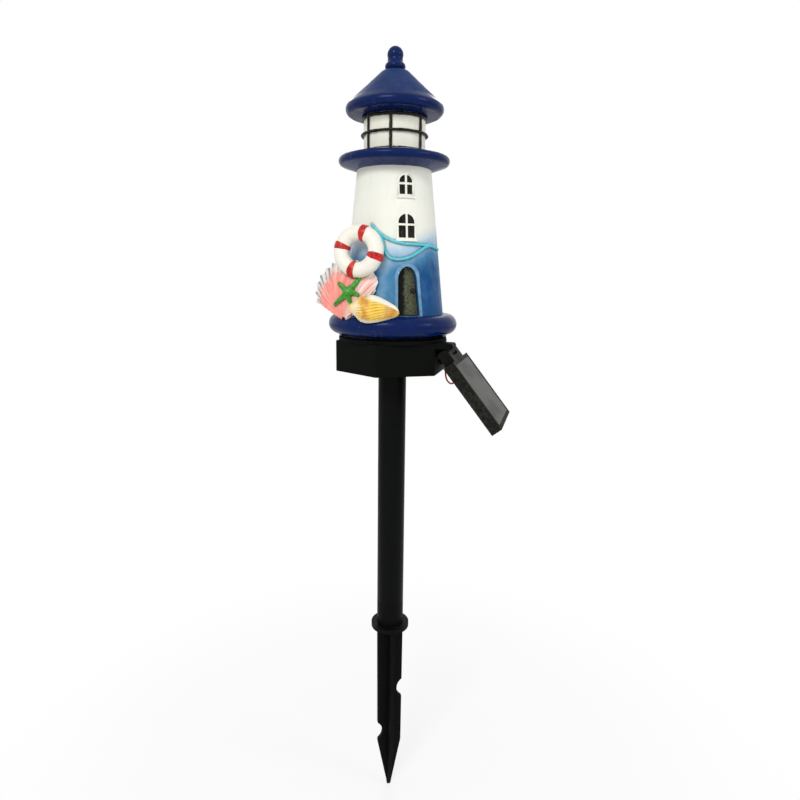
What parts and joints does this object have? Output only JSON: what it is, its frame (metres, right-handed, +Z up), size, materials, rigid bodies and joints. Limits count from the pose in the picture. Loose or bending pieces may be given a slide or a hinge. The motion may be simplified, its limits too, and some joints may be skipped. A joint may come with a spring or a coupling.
{
  "type": "solar lighthouse stake ornament",
  "caption": "Solar garden light: a painted lighthouse figure with sea ornaments on a hexagonal housing, with a tilting solar panel, a pole and a ground spike.",
  "frame": {"origin": "on the pole axis at the ground line, the underside of the spike's collar", "axes": "+Z up along the pole, -Y the side of the door"},
  "size_m": [0.1397, 0.1102, 0.5586],
  "materials": {
    "stake_black": "satin",
    "housing_black": "satin",
    "seal_rubber": "matte",
    "screw_steel": "satin",
    "board_green": "satin",
    "cell_wrap": "gloss",
    "contact_steel": "satin",
    "led_clear": "gloss",
    "white_plastic": "satin",
    "wire_insulation": "satin",
    "navy_paint": "satin",
    "tower_paint": "matte",
    "lantern_paint": "satin",
    "black_paint": "satin",
    "door_paint": "matte",
    "surround_blue": "satin",
    "trim_white": "satin",
    "ring_white": "satin",
    "band_red": "gloss",
    "rope_teal": "satin",
    "scallop_pink": "satin",
    "star_green": "satin",
    "whelk_cream": "satin",
    "panel_black": "satin",
    "cell_grey": "satin",
    "window_clear": "gloss"
  },
  "bodies": {
    "stake": {"ground_spike": "stake_black"},
    "pole": {"pole": "stake_black"},
    "head": {"housing_shell": "housing_black", "housing_floor": "housing_black", "floor_seal": "seal_rubber", "floor_screws": "screw_steel", "figure_screws": "screw_steel", "seat_gasket": "seal_rubber", "circuit_board": "board_green", "battery_cell": "cell_wrap", "battery_tray": "black_paint", "battery_spring": "contact_steel", "battery_plate": "contact_steel", "led_lamp": "led_clear", "led_holder": "white_plastic", "led_wires": "wire_insulation", "switch_body": "contact_steel", "lead_grommet": "seal_rubber", "base_ring": "navy_paint", "tower_shell": "tower_paint", "gallery_deck": "navy_paint", "lantern_diffuser": "lantern_paint", "lantern_frame": "black_paint", "roof_cap": "navy_paint", "door_leaf": "door_paint", "door_knob": "door_paint", "door_surround": "surround_blue", "upper_window_frame": "trim_white", "upper_window_panes": "black_paint", "lower_window_frame": "trim_white", "lower_window_panes": "black_paint", "life_ring": "ring_white", "life_ring_bands": "band_red", "moulded_rope": "rope_teal", "scallop_shell": "scallop_pink", "starfish": "star_green", "whelk_shell": "whelk_cream", "hinge_pin": "stake_black", "lead_red": "wire_insulation", "lead_black": "seal_rubber"},
    "panel": {"panel_case": "panel_black", "panel_back": "panel_black", "solar_cell": "cell_grey", "panel_window": "window_clear"},
    "switch": {"switch_slider": "stake_black"}
  },
  "joints": [
    {"name": "pole_lift", "type": "slide", "parent": "stake", "child": "pole", "axis": [0, 0, 1], "range_m": [0, 0.02]},
    {"name": "head_swivel", "type": "hinge", "parent": "pole", "child": "head", "pos_m": [0, 0, 0.208], "axis": [0, 0, 1], "continuous": true},
    {"name": "panel_tilt", "type": "hinge", "parent": "head", "child": "panel", "pos_m": [0.03634, -0.02098, 0.2165], "axis": [-0.5, -0.866, 0], "range_deg": [-20, 50], "deforming": ["lead_red", "lead_black"]},
    {"name": "switch_slide", "type": "slide", "parent": "head", "child": "switch", "axis": [1, 0, 0], "range_m": [0, 0.002]}
  ]
}
